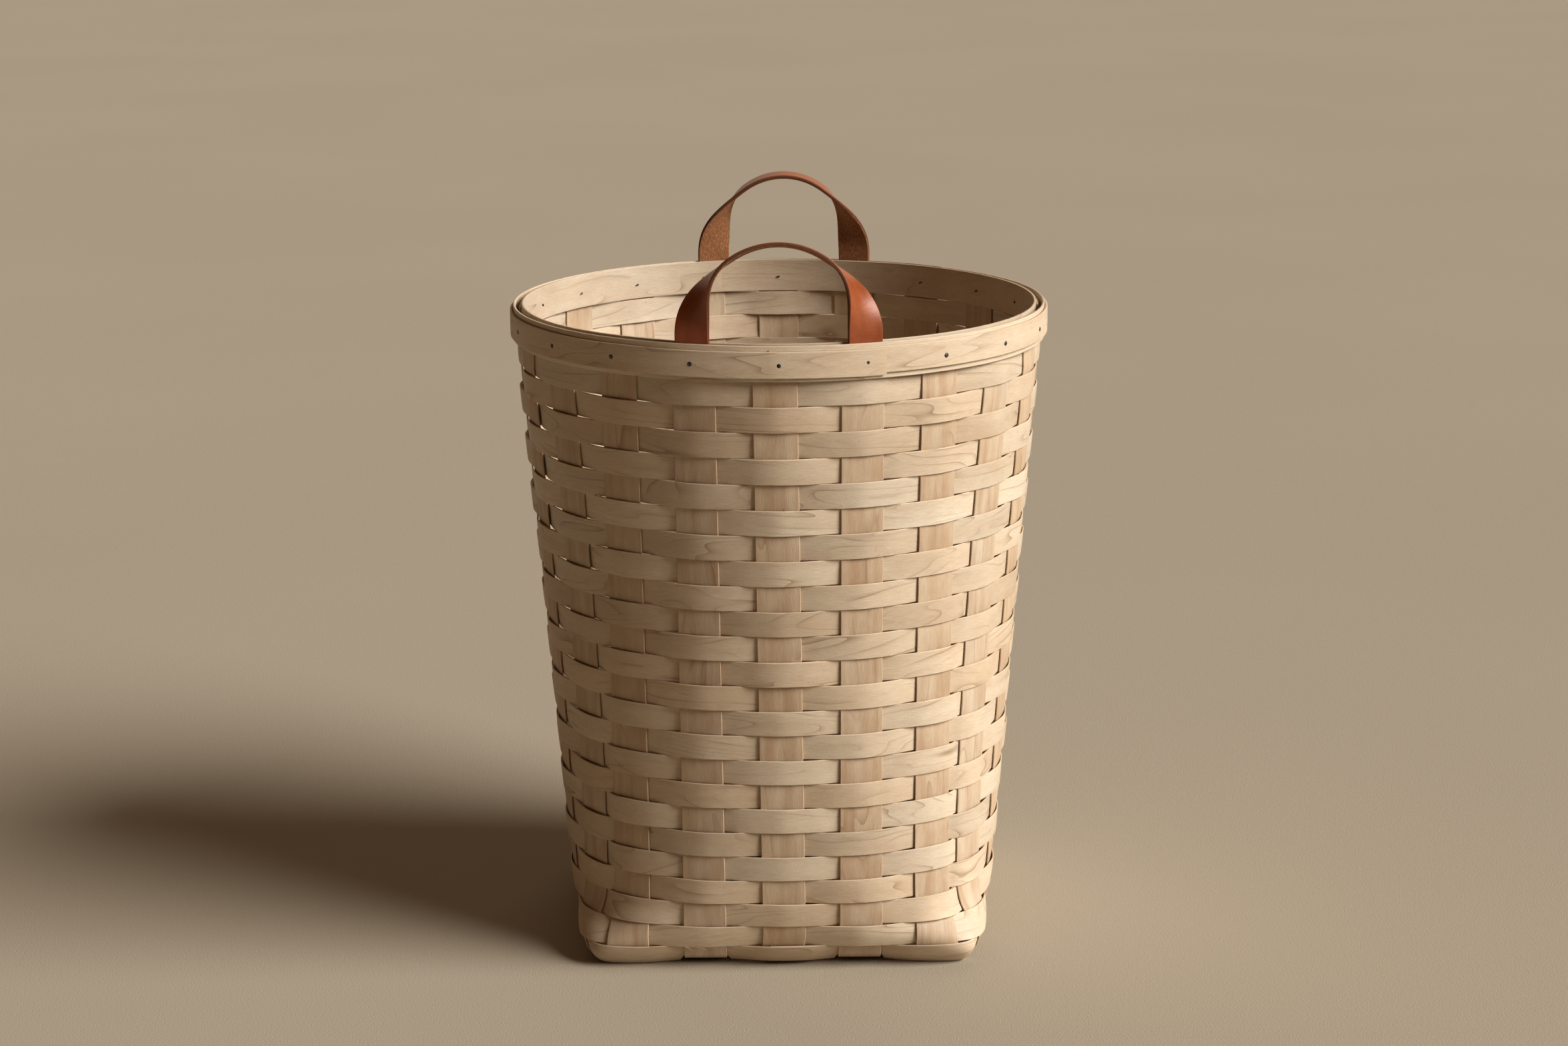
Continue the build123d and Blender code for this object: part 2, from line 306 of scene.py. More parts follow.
def hermite(x, nodes, values):
    """Smooth curve through the values at the nodes, evaluated at x."""
    slopes = np.gradient(values, nodes)
    k = np.clip(np.searchsorted(nodes, x) - 1, 0, len(nodes) - 2)
    span = nodes[k + 1] - nodes[k]
    leave, arrive = span * slopes[k], span * slopes[k + 1]
    return cubic((x - nodes[k]) / span, values[k], leave, values[k + 1], arrive)


def row_stations(first, last):
    """Steps along a row in upright spacings, closer together round the corners."""
    stations = []
    for i in range(int(np.floor(first)), int(np.ceil(last))):
        corner = i % UPRIGHTS_PER_FACE == UPRIGHTS_PER_FACE - 1
        count = 36 if corner else 18
        stations.extend(i + np.arange(count) / count)
    stations = np.array([s for s in stations if first < s < last])
    return np.concatenate([[first], stations, [last]])


def row_place(t, z):
    """Face and length from the face's middle at t upright spacings from upright 0, at height z."""
    i = np.floor(t).astype(int)
    share = t - i
    face = (i // UPRIGHTS_PER_FACE) % 4
    here = upright_middle(i, z)
    corner = i % UPRIGHTS_PER_FACE == UPRIGHTS_PER_FACE - 1
    whole = np.interp(z, TABLE_HEIGHTS, FACE_LENGTHS)
    following = upright_middle(i + 1, z) + np.where(corner, whole, 0.0)
    along = here + share * (following - here)
    beyond = along > whole / 2
    return face + beyond, along - np.where(beyond, whole, 0.0)


LAP_ENDS = 0.16  # how far a weaver's ends run past their uprights' middles, in spacings
LAP_EASE = 0.35  # how far from a lap its two plies come together, in spacings
FOOT_LAP = FRONT_MIDDLE  # the lowest row's lap shows at the front's middle
ARCH_HALF = 108.0  # the lowest row is arched over this much of a face, each side of its middle
ARCH_RISE = 3.0
FOLD_CLEAR = 7.6  # height of its lower edge where an upright folds under it
FOLD_HALF = 20.5  # half the length of that raised stretch, with its ramps
FOLD_RAMP = 3.5
FOOT_PITCH = 59.0  # about an upright spacing at the foot
FOOT_BULGE = 0.55  # how much the lowest row bulges over its uprights, against the others
FOOT_TUCK = 0.6  # how far its lower edge turns in
PLY_ROOM = 1.04  # how far apart a lap's two plies lie, in thicknesses


def foot_edge(t):
    """Height of the lowest row's lower edge: on its corners, over the folds and arched between."""
    along = row_place(t, np.full(t.shape, 8.0))[1]
    edge = ARCH_RISE * np.clip(1 - (along / ARCH_HALF) ** 2, 0, 1)
    for i in range(UPRIGHTS):
        if passes_over(1, i):
            continue
        gap = np.abs((t - i + UPRIGHTS / 2) % UPRIGHTS - UPRIGHTS / 2) * FOOT_PITCH
        edge = np.maximum(edge, FOLD_CLEAR * smooth((FOLD_HALF - gap) / FOLD_RAMP))
    return edge


def weaver(row):
    """One row: a strip that goes round once and laps over itself between two uprights."""
    rng = np.random.default_rng(1000 + row)
    low_length = ROW_START + (row - 1) * ROW_PITCH
    high_length = low_length + ROW_PITCH - ROW_GAP
    overs = [i for i in range(UPRIGHTS) if passes_over(row, i)]
    lap = FOOT_LAP if row == 1 else int(rng.choice(overs))
    t = row_stations(lap - LAP_ENDS, lap + UPRIGHTS + 1 + LAP_ENDS)
    top_reach = TOP_ROW_EXTRA if row == ROW_COUNT else ROW_CLOSE
    width = ROW_PITCH - ROW_GAP + ROW_CLOSE + top_reach
    shares = shares_across(width, 7, EDGE_ROUND)

    # lengths along the row at its middle, and the wave through the uprights there
    middle_z = float(height_at((low_length + high_length) / 2))
    ids = np.arange(lap - 2, lap + UPRIGHTS + 4)
    along = row_place(ids.astype(float), np.full(ids.shape, middle_z))[1]
    whole = float(np.interp(middle_z, TABLE_HEIGHTS, FACE_LENGTHS))
    turns = np.floor(ids / UPRIGHTS_PER_FACE)
    middles = turns * whole + along
    run = np.interp(t, ids, middles)
    signs = np.where([passes_over(row, i) for i in ids], 1.0, -1.0)
    bulges = WEAVE_BULGE * rng.uniform(0.8, 1.25, len(ids))
    ease = FOOT_BULGE if row == 1 else 1.0
    nodes = (middles[:, None] + np.array([-1, 0, 1]) * UPRIGHT_WIDTH / 2).ravel()
    values = signs[:, None] * (WEAVE_LIFT + np.array([0, 1, 0]) * bulges[:, None] * ease)
    wave = hermite(run, nodes, values.ravel())

    # where the two ends lie on each other, the end goes outside the start
    over = np.clip(wave / WEAVE_LIFT, -1, 1)
    ply = WEAVER_THICK * PLY_ROOM
    start_zone = 1 - smooth((t - (lap + 1 + LAP_ENDS)) / LAP_EASE)
    end_zone = smooth((t - (lap + UPRIGHTS - LAP_ENDS - LAP_EASE)) / LAP_EASE)
    wave = wave - start_zone * ply * (1 - over) / 2 + end_zone * ply * (1 + over) / 2

    # heights, with a slightly uneven cut along both edges
    high = min(float(height_at(high_length)), TOP_ROW_LIMIT) + top_reach
    if row == 1:
        low = foot_edge(t)
    else:
        low = np.full(t.shape, float(height_at(low_length)) - ROW_CLOSE)
        low = low + (wander(run, 0.1, 90, rng) + wander(run, 0.04, 9, rng))
    high = high + wander(run, 0.12, 110, rng) + wander(run, 0.04, 8, rng)
    part = (shares[None, :] + 1) / 2
    z = low[:, None] + part * (high - low)[:, None]
    tilt = wander(run, 0.13, 150, rng)[:, None] * shares[None, :]
    proud = 0.16 * shares[None, :] - 0.1 * shares[None, :] ** 2
    out = (wave[:, None] + tilt + proud) * slant(z)
    if row == 1:
        out = out - FOOT_TUCK * smooth((6.0 - z) / 6.0)
    face, along = row_place(np.broadcast_to(t[:, None], z.shape), z)
    points = wall_points(face, z, along, out)
    name = f"weaver_{row:02d}_splint"
    return solid_strip(name, points, shares, width, WEAVER_THICK, u_start=3.1 * row)


# ---- uprights
FLOOR_END = HALF_FACE * FLOOR_PITCH + UPRIGHT_WIDTH / 2
WAVE_LOW, WAVE_HIGH = 12.0, 448.0  # the rows push the uprights in and out between these heights


def upright_wave(i, z):
    """How far the rows push upright i in and out at heights z."""
    length = np.interp(z, TABLE_HEIGHTS, SLOPE_LENGTHS)
    rows = (length - ROW_START) / ROW_PITCH
    first = -1.0 if passes_over(1, i) else 1.0
    fade = smooth((z - WAVE_LOW) / 12.0) * smooth((WAVE_HIGH - z) / 14.0)
    return first * UPRIGHT_WAVE * np.sin(pi * rows) * fade


def wall_half(column, i, shares):
    """Middle surface of one wall part of an upright, from its fold up, as a front upright."""
    z = np.concatenate([np.arange(FOLD_TOP, 40, 1.5), np.arange(40, UPRIGHT_TOP, 3.2), [UPRIGHT_TOP]])
    grid_z = np.repeat(z[:, None], len(shares), axis=1)
    across = shares[None, :] * UPRIGHT_WIDTH / 2
    along = upright_middle(i, grid_z) + across
    out = np.repeat(upright_wave(i, z)[:, None], len(shares), axis=1)
    wall = wall_points(0, grid_z, along, out * slant(grid_z))
    flat_x = column * FLOOR_PITCH + across
    reach = float(outline(np.array(FOLD_TOP), np.array(column * FLOOR_PITCH), np.array(0.0))[1])
    flat = np.stack([flat_x + 0 * grid_z, np.full(grid_z.shape, -reach), grid_z], -1)
    mix = smooth((grid_z - FOLD_TOP) / 6.0)[..., None]
    flat[..., 1] -= (half_width(grid_z) - half_width(FOLD_TOP)) * (1 - mix[..., 0])
    return wall * mix + flat * (1 - mix), reach


def strip_rows(column, shares, line):
    """Points of a strip of a column, straight across, whose rows follow line's (y, z) pairs."""
    points = np.empty((len(line), len(shares), 3))
    points[..., 0] = column * FLOOR_PITCH + shares * UPRIGHT_WIDTH / 2
    points[..., 1:] = line[:, None, :]
    return points


def fold_half(column, level, reach, shares):
    """Middle surface of the fold from the floor at the last crossing to the wall."""
    t = np.linspace(0, 1, 12)[:, None]
    rise = half_width(FOLD_TOP + 0.5) - half_width(FOLD_TOP - 0.5)
    start, finish = np.array([-FLOOR_END, level]), np.array([-reach, FOLD_TOP])
    pull = 1.2 * np.hypot(*(finish - start))
    leave = np.array([-1.0, 0.0]) * pull
    arrive = np.array([-rise, 1.0]) / np.hypot(rise, 1.0) * pull
    return strip_rows(column, shares, cubic(t, start, leave, finish, arrive))


def floor_part(column, over_parity, shares):
    """Middle surface of the floor part, woven over and under the strips it crosses."""
    crossings = np.arange(-HALF_FACE, HALF_FACE + 1)
    signs = np.where((column + crossings) % 2 == over_parity, 1.0, -1.0)
    half = UPRIGHT_WIDTH / 2 - 1.5
    nodes = (crossings[:, None] * FLOOR_PITCH + np.array([-half, 0, half])).ravel()
    levels = np.repeat(FLOOR_LEVEL + signs * FLOOR_WAVE, 3)
    nodes[0], nodes[-1] = -FLOOR_END, FLOOR_END
    y = np.linspace(-FLOOR_END, FLOOR_END, 91)
    k = np.clip(np.searchsorted(nodes, y) - 1, 0, len(nodes) - 2)
    share = smooth((y - nodes[k]) / (nodes[k + 1] - nodes[k]))
    level = levels[k] * (1 - share) + levels[k + 1] * share
    return strip_rows(column, shares, np.stack([y, level], -1))


def turned(points, turn):
    """Points turned about the vertical axis by a quarter turn times turn."""
    c, s = round(cos(turn * pi / 2)), round(sin(turn * pi / 2))
    x, y = points[..., 0], points[..., 1]
    return np.stack([x * c - y * s, x * s + y * c, points[..., 2]], -1)


def upright(column, over_parity):
    """One strip down a wall, across the floor and up the wall opposite."""
    shares = shares_across(UPRIGHT_WIDTH, 9, EDGE_ROUND)
    near = UPRIGHTS_PER_FACE * over_parity + HALF_FACE + column
    far = UPRIGHTS_PER_FACE * (over_parity + 2) + HALF_FACE - column
    floor = floor_part(column, over_parity, shares)
    wall, reach = wall_half(column, near, shares)
    fold = fold_half(column, floor[0, 0, 2], reach, shares)
    parts = [wall[::-1], fold[::-1][1:], floor[1:]]
    wall, reach = wall_half(-column, far, shares)
    fold = fold_half(-column, floor[-1, 0, 2], reach, shares)
    parts += [turned(fold, 2)[1:, ::-1], turned(wall, 2)[1:, ::-1]]
    points = turned(np.concatenate(parts), over_parity)
    kind = "left_right" if over_parity else "front_rear"
    place = column + HALF_FACE + 1
    start = 90.0 + 2.7 * (5 * over_parity + place)
    name = f"upright_{kind}_{place}_splint"
    return solid_strip(name, points[:, ::-1], shares, UPRIGHT_WIDTH, UPRIGHT_THICK, u_start=start)


# ---- rim
THIN_END = 0.12  # thickness left at a hoop's thinned end, as a share of the whole
HOOP_STEPS = 260


def bent_hoop(name, inner_radius, thick, low, high, lap_at, lap, drop, seed):
    """A bent strip that goes round once, its two thinned ends lapped over each other."""
    rng = np.random.default_rng(seed)
    turn = np.linspace(0.0, 360.0 + lap, HOOP_STEPS)
    angle = np.radians(lap_at - lap + turn)
    start = smooth(turn / lap)
    end = smooth((turn - 360.0) / lap)
    body = thick * (THIN_END + (1 - THIN_END) * start)
    body = np.where(turn > 360.0, thick * (1.0 - 0.86 * end), body)
    seat = np.where(turn > 360.0, thick * (THIN_END + (1 - THIN_END) * end) + 0.03, 0.0)
    seat = np.minimum(seat, thick * 1.02)
    radius = inner_radius + seat + body / 2 + wander(angle * inner_radius, 0.05, 160, rng)
    height = high - low
    shares = shares_across(height, 7, HOOP_ROUND)
    run = angle * inner_radius
    settle = drop * (1 - turn / 360.0)
    top = high + settle + wander(run, 0.12, 140, rng) + wander(run, 0.05, 7, rng)
    bottom = low + settle + wander(run, 0.1, 120, rng) + wander(run, 0.04, 8, rng)
    part = (shares[None, :] + 1) / 2
    z = bottom[:, None] + part * (top - bottom)[:, None]
    r = radius[:, None] - 0.12 * (shares[None, :] ** 2)
    points = np.stack([r * np.cos(angle)[:, None], r * np.sin(angle)[:, None], z], -1)
    return solid_strip(name, points, shares, height, body, HOOP_ROUND, 140.0 + seed)


# ---- leather straps
TWIST_HEIGHT = 54.0  # above the hinge, where a strap's width has turned to run from front to rear
FRONT_LEAN = 10.0  # degrees that the front strap turns further by its top
REAR_LEFT_ANGLE = 15.5  # degrees round the rim to the rear strap's left tail; the others have STEP_ANGLE
TAIL_STEPS = 12
ARCH_STEPS = 150
LEATHER_PARTS = {"inner": 1, "edge": 2}  # the grain side is material 0


def strap_frame(angle, ahead):
    """Middle point, and the unit vector across, of a strap at an angle of its arch."""
    rise = ARCH_HEIGHT - HINGE_LIFT
    lift = rise * sin(angle)
    left = REAR_LEFT_ANGLE if ahead > 0 else STEP_ANGLE
    start, end = -STRAP_RADIUS * sin(radians(left)), STRAP_RADIUS * sin(radians(STEP_ANGLE))
    share = (1 - cos(angle)) / 2
    facing = left + (STEP_ANGLE - left) * share
    reach = ahead * STRAP_RADIUS * cos(radians(facing))
    origin = np.array([start + (end - start) * share, reach, RIM_TOP + HINGE_LIFT + lift])
    tangent = np.array([(end - start) / 2 * sin(angle), 0.0, rise * cos(angle)])
    tangent /= np.linalg.norm(tangent)
    lean = FRONT_LEAN if ahead < 0 else 0.0
    turned_by = facing + (90 - facing) * smooth(lift / TWIST_HEIGHT)
    twist = radians(turned_by + lean * smooth(lift / rise))
    outward = np.array([-tangent[2], 0.0, tangent[0]])
    across = outward * cos(twist) - np.array([0.0, ahead, 0.0]) * sin(twist)
    return origin, across


def strap(name, ahead, seed):
    """One handle: a single strap from one tail, held between the hoops, over to the other."""
    rng = np.random.default_rng(seed)
    tail_low = RIM_TOP - TAIL_HEIGHT
    base, far = [], []
    for z in np.linspace(tail_low, RIM_TOP + HINGE_LIFT - 0.6, TAIL_STEPS):
        for tail, angle in ((base, 0.0), (far, pi)):
            origin, across = strap_frame(angle, ahead)
            tail.append((np.array([origin[0], origin[1], z]), across))
    far.reverse()
    arch = [strap_frame(a, ahead) for a in np.linspace(0, pi, ARCH_STEPS)]
    frames = base + arch + far
    shares = shares_across(STRAP_WIDTH, 11, STRAP_ROUND)
    origins = np.array([f[0] for f in frames])
    across = np.array([f[1] for f in frames])
    half = shares[None, :, None] * STRAP_WIDTH / 2
    points = origins[:, None, :] + across[:, None, :] * half
    # in the rim, the strap follows the hoops' curve
    held = smooth((RIM_TOP + 3.0 - points[..., 2]) / 6.0) * (np.abs(points[..., 0]) > STRAP_WIDTH)
    radius = np.hypot(points[..., 0], points[..., 1])
    pull = (1 - held) + held * STRAP_RADIUS / radius
    points[..., 0] *= pull
    points[..., 1] *= pull
    run = np.concatenate([[0.0], np.cumsum(np.linalg.norm(np.diff(origins, axis=0), axis=1))])
    uneven = wander(run, 0.12, 60, rng)[:, None] * np.sign(shares) * (np.abs(shares) > 0.9)
    points += across[:, None, :] * uneven[..., None]
    clamp = smooth((RIM_TOP + 6.0 - origins[:, 2]) / 8.0)
    thick = STRAP_THICK - (STRAP_THICK - TAIL_THICK) * clamp
    if ahead > 0:
        points = points[:, ::-1]
    return solid_strip(name, points, shares, STRAP_WIDTH, thick, STRAP_ROUND, 210.0 + seed, LEATHER_PARTS)


# ---- tacks
def lathe(bm, profile, place, axis, sides=20):
    """A turned solid: profile is (distance along axis, radius) pairs, its ends on the axis."""
    axis = Vector(axis).normalized()
    side = axis.orthogonal().normalized()
    up = axis.cross(side)
    rings = []
    for along, radius in profile:
        centre = Vector(place) + axis * along
        if radius == 0:
            rings.append([bm.verts.new(centre * MM)])
            continue
        ring = []
        for k in range(sides):
            a = 2 * pi * k / sides
            ring.append(bm.verts.new((centre + (side * cos(a) + up * sin(a)) * radius) * MM))
        rings.append(ring)
    for low, high in zip(rings, rings[1:]):
        for k in range(sides):
            m = (k + 1) % sides
            if len(low) == 1:
                bm.faces.new((low[0], high[k], high[m]))
            elif len(high) == 1:
                bm.faces.new((low[k], high[0], low[m]))
            else:
                bm.faces.new((low[k], high[k], high[m], low[m]))


def add_solid(name, bm):
    """An object from finished bmesh data, with its faces turned outward."""
    bmesh.ops.recalc_face_normals(bm, faces=bm.faces)
    mesh = bpy.data.meshes.new(name)
    bm.to_mesh(mesh)
    bm.free()
    return add_object(name, mesh)


# (distance along, radius) of a tack's head, and of the point clenched inside the rim
TACK_HEAD = (
    (-0.35, 0.0),
    (-0.35, 0.8),
    (-0.3, 1.45),
    (-0.1, 1.72),
    (0.14, 1.75),
    (0.36, 1.6),
    (0.52, 1.25),
    (0.6, 0.7),
    (0.62, 0.0),
)
TACK_POINT = ((-0.7, 0.0), (-0.62, 0.5), (-0.2, 0.72), (0.8, 0.62), (1.9, 0.38), (2.7, 0.12), (2.85, 0.0))
TACK_SHANK = 0.75


def tacks():
    """Twenty tacks with flattened heads outside and their points clenched inside."""
    rng = np.random.default_rng(77)
    bm = bmesh.new()
    for i in range(UPRIGHTS):
        azimuth = radians(i * STEP_ANGLE)
        out = Vector((cos(azimuth), sin(azimuth), 0.0))
        level = TACK_LEVEL + rng.uniform(-0.3, 0.3)
        head = RIM_RADIUS - 0.15 + rng.uniform(-0.1, 0.1)
        place = out * head + Vector((0, 0, level))
        tilt = Vector([rng.uniform(-reach, reach) for reach in (0.06, 0.06, 0.08)])
        lathe(bm, TACK_HEAD, place, out + tilt)
        inside = INNER_HOOP_RADIUS - INNER_HOOP_THICK
        length = head - inside
        shank = ((0.0, 0.0), (0.0, TACK_SHANK), (length, TACK_SHANK), (length, 0.0))
        lathe(bm, shank, place - out * (length + 0.1), out, 12)
        way = rng.uniform(-0.6, 0.6) + pi / 2 * rng.choice([-1, 1])
        along = Vector((-sin(azimuth), cos(azimuth), 0.0)) * sin(way) + Vector((0, 0, cos(way)))
        bent = out * (inside - 0.35) + Vector((0, 0, level))
        lathe(bm, TACK_POINT, bent, along + out * 0.1, 10)
    piece = add_solid("rim_tacks_steel", bm)
    piece.data.polygons.foreach_set("use_smooth", np.ones(len(piece.data.polygons), bool))
    piece.data.set_sharp_from_angle(angle=radians(50))
    return piece


# ---- loose slivers on cut edges
SLIVER_COUNT = 46
TUFT_COUNT = 9


def sliver(bm, points, width, rng):
    """A tapered splinter along points in millimetres, three-sided and closed."""
    rings = []
    count = len(points)
    for k, point in enumerate(points):
        taper = width * (1 - k / count) * (0.8 + 0.4 * rng.random())
        way = points[min(k + 1, count - 1)] - points[max(k - 1, 0)]
        way = way / np.linalg.norm(way)
        side = np.cross(way, np.array([0.3, 0.2, 0.93]))
        side /= np.linalg.norm(side)
        up = np.cross(way, side)
        ring = []
        for a in (0.0, 2.1, 4.2):
            ring.append(bm.verts.new(Vector((point + (side * cos(a) + up * sin(a)) * taper) * MM)))
        rings.append(ring)
    for low, high in zip(rings, rings[1:]):
        for k in range(3):
            m = (k + 1) % 3
            bm.faces.new((low[k], low[m], high[m], high[k]))
    bm.faces.new(rings[0][::-1])
    bm.faces.new(rings[-1])


def slivers():
    """Splinters lifted from the strips' edges: a few anywhere, and a tuft low on the front left."""
    rng = np.random.default_rng(5)
    bm = bmesh.new()

    def grow(row, t, top, length, rise, spread):
        """One splinter from a row's edge at t upright spacings from upright 0."""
        low_length = ROW_START + (row - 1) * ROW_PITCH
        edge = low_length + (ROW_PITCH - ROW_GAP if top else 0.0)
        z = float(height_at(edge)) + (-0.25 if top else 0.25)
        near = int(round(t)) % UPRIGHTS
        sign = 1.0 if passes_over(row, near) else -1.0
        out = sign * (WEAVE_LIFT + 0.8 * WEAVE_BULGE)
        face, along = row_place(np.array([t]), np.array([z]))
        start = wall_points(face, np.array([z]), along, np.array([out]))[0]
        ahead = wall_points(face, np.array([z]), along + 1.0, np.array([out]))[0] - start
        normal = wall_points(face, np.array([z]), along, np.array([out + 1.0]))[0] - start
        points = []
        for k in range(6):
            share = k / 5
            bend = np.array([0, 0, rise]) * share**1.6 + normal * spread * share**1.4
            points.append(start + ahead * length * share + bend)
        sliver(bm, points, rng.uniform(0.09, 0.19), rng)

    for _ in range(SLIVER_COUNT):
        row = int(rng.integers(2, ROW_COUNT + 1))
        overs = [i for i in range(UPRIGHTS) if passes_over(row, i)]
        t = float(rng.choice(overs)) + rng.uniform(-0.2, 0.2)
        length = rng.uniform(1.5, 5.0) * rng.choice([-1, 1])
        top = bool(rng.random() < 0.5)
        grow(row, t, top, length, rng.uniform(0.1, 0.7) * (1 if top else -1), rng.uniform(0.1, 0.9))
    # the tuft, on the second row's lower edge beside the front's left-of-middle upright
    for _ in range(TUFT_COUNT):
        t = FRONT_MIDDLE - 1 + rng.uniform(-0.28, 0.02)
        grow(2, t, False, rng.uniform(5.0, 12.0), rng.uniform(-4.5, 0.5), rng.uniform(0.2, 1.6))
    return add_solid("weaver_slivers", bm)


# ---- materials
class Shader:
    """Short names for building one material's nodes."""

    def __init__(self, name, roughness, specular=0.5):
        self.material = bpy.data.materials.new(name)
        self.material.use_nodes = True
        self.tree = self.material.node_tree
        self.tree.nodes.clear()
        self.surface = self.add("ShaderNodeBsdfPrincipled")
        self.surface.inputs["Roughness"].default_value = roughness
        self.surface.inputs["Specular IOR Level"].default_value = specular
        output = self.add("ShaderNodeOutputMaterial")
        self.link(self.surface.outputs["BSDF"], output.inputs["Surface"])

    def add(self, kind, **settings):
        node = self.tree.nodes.new(kind)
        for key, value in settings.items():
            setattr(node, key, value)
        return node

    def link(self, source, target):
        self.tree.links.new(source, target)

    def feed(self, socket, value):
        """Sets a socket to a number or colour, or links an output to it."""
        if isinstance(value, bpy.types.NodeSocket):
            self.link(value, socket)
        else:
            socket.default_value = value

    def math(self, operation, a, b=0.0, c=0.0):
        node = self.add("ShaderNodeMath", operation=operation)
        for socket, value in zip(node.inputs, (a, b, c)):
            self.feed(socket, value)
        return node.outputs[0]

    def stretch(self, source, along, across, shift=0.0):
        """The source vector scaled along U and V."""
        node = self.add("ShaderNodeMapping")
        self.link(source, node.inputs["Vector"])
        node.inputs["Scale"].default_value = (along, across, 1.0)
        node.inputs["Location"].default_value = (shift, shift * 1.7, shift)
        return node.outputs[0]

    def noise(self, vector, scale=1.0, detail=2.0, rough=0.5, distort=0.0):
        node = self.add("ShaderNodeTexNoise")
        self.link(vector, node.inputs["Vector"])
        node.inputs["Scale"].default_value = scale
        node.inputs["Detail"].default_value = detail
        node.inputs["Roughness"].default_value = rough
        node.inputs["Distortion"].default_value = distort
        return node.outputs["Fac"]

    def span(self, value, low, high, to_low=0.0, to_high=1.0):
        """The value's range low to high mapped to another, clamped."""
        node = self.add("ShaderNodeMapRange")
        self.link(value, node.inputs["Value"])
        keys = ("From Min", "From Max", "To Min", "To Max")
        for key, number in zip(keys, (low, high, to_low, to_high)):
            node.inputs[key].default_value = number
        return node.outputs["Result"]

    def mix(self, factor, a, b, kind="MIX"):
        node = self.add("ShaderNodeMix", data_type="RGBA", blend_type=kind)
        self.feed(node.inputs["Factor"], factor)
        self.feed(node.inputs[6], a)
        self.feed(node.inputs[7], b)
        return node.outputs[2]

    def bump(self, height, distance, strength=1.0, under=None):
        node = self.add("ShaderNodeBump")
        self.link(height, node.inputs["Height"])
        node.inputs["Distance"].default_value = distance
        node.inputs["Strength"].default_value = strength
        if under is not None:
            self.link(under, node.inputs["Normal"])
        return node.outputs["Normal"]


def wood(name, ring_count, band, ring_dark, fleck, roughness):
    """Thin-cut pale wood along U: growth lines, figure streaks with their sheen painted in, fibres,
    mottling, flecks, and fuzzy cut edges painted paler, partly their raw tone and partly a painted
    highlight.
    """
    s = Shader(name, roughness, 0.35)
    uv = s.add("ShaderNodeUVMap", uv_map="UVMap").outputs[0]
    tint = s.add("ShaderNodeObjectInfo").outputs["Color"]
    edge = s.add("ShaderNodeAttribute", attribute_name="cut_edge").outputs["Fac"]

    # growth lines are the contours of a slow noise, dark on one side and sharp on the other
    slow = s.noise(s.stretch(uv, 4.2, 26.0), detail=2.2, rough=0.42, distort=0.5)
    rings = s.math("FRACT", s.math("MULTIPLY", slow, ring_count))
    line = s.math("POWER", rings, 9.0)
    faint = s.noise(s.stretch(uv, 14.0, 60.0, 3.0), detail=1.0)
    line = s.math("MULTIPLY", line, s.span(faint, 0.42, 0.66))
    # broad bands across the width: streaks of figure, with their chatoyant sheen painted in as light and
    # dark stripes; mottling, and two sizes of fibre
    bands = s.noise(s.stretch(uv, 9.0, 130.0, 5.0), detail=2.0, rough=0.5)
    mottle = s.noise(s.stretch(uv, 22.0, 34.0, 7.0), detail=3.0, rough=0.6)
    fibre = s.noise(s.stretch(uv, 110.0, 1900.0, 9.0), detail=3.0, rough=0.65)
    grit = s.noise(s.stretch(uv, 900.0, 1500.0, 2.0), detail=2.0, rough=0.7)

    # painted sheen: the bands darken the strip's tint in stripes, partly the figure's own tone
    colour = s.mix(s.span(bands, 0.3, 0.7, 0.0, band), tint, (0.46, 0.29, 0.17, 1))
    clouds = s.noise(s.stretch(uv, 7.0, 20.0, 17.0), detail=2.0, rough=0.5)
    colour = s.mix(s.span(clouds, 0.35, 0.68, 0.0, 0.34), colour, (0.60, 0.43, 0.27, 1))
    colour = s.mix(s.span(mottle, 0.38, 0.72, 0.0, 0.36), colour, (0.86, 0.77, 0.62, 1))
    colour = s.mix(s.math("MULTIPLY", line, ring_dark), colour, (0.23, 0.12, 0.06, 1))
    colour = s.mix(s.span(fibre, 0.32, 0.72, 0.0, 0.30), colour, (0.36, 0.22, 0.12, 1))
    colour = s.mix(s.span(grit, 0.25, 0.7, 0.16, 0.0), colour, (0.25, 0.15, 0.08, 1))
    # pin flecks, only in some patches
    spots = s.noise(s.stretch(uv, 420.0, 1300.0, 4.0), detail=1.0)
    patch = s.noise(s.stretch(uv, 13.0, 45.0, 11.0), detail=1.0)
    marks = s.math("MULTIPLY", s.span(spots, 0.70, 0.76), s.span(patch, 0.55, 0.65))
    colour = s.mix(s.math("MULTIPLY", marks, fleck), colour, (0.14, 0.07, 0.035, 1))
    # the cut edges are painted paler: partly their raw tone, partly a painted highlight along them
    colour = s.mix(s.math("MULTIPLY", edge, 0.45), colour, (0.72, 0.56, 0.38, 1))
    s.link(colour, s.surface.inputs["Base Color"])
    s.link(s.span(mottle, 0.3, 0.7, roughness - 0.08, roughness + 0.1), s.surface.inputs["Roughness"])
    fine = s.bump(fibre, 0.00016, 0.8)
    coarse = s.bump(grit, 0.00008, 0.8, fine)
    s.link(s.bump(slow, 0.0012, 0.6, coarse), s.surface.inputs["Normal"])
    return s.material


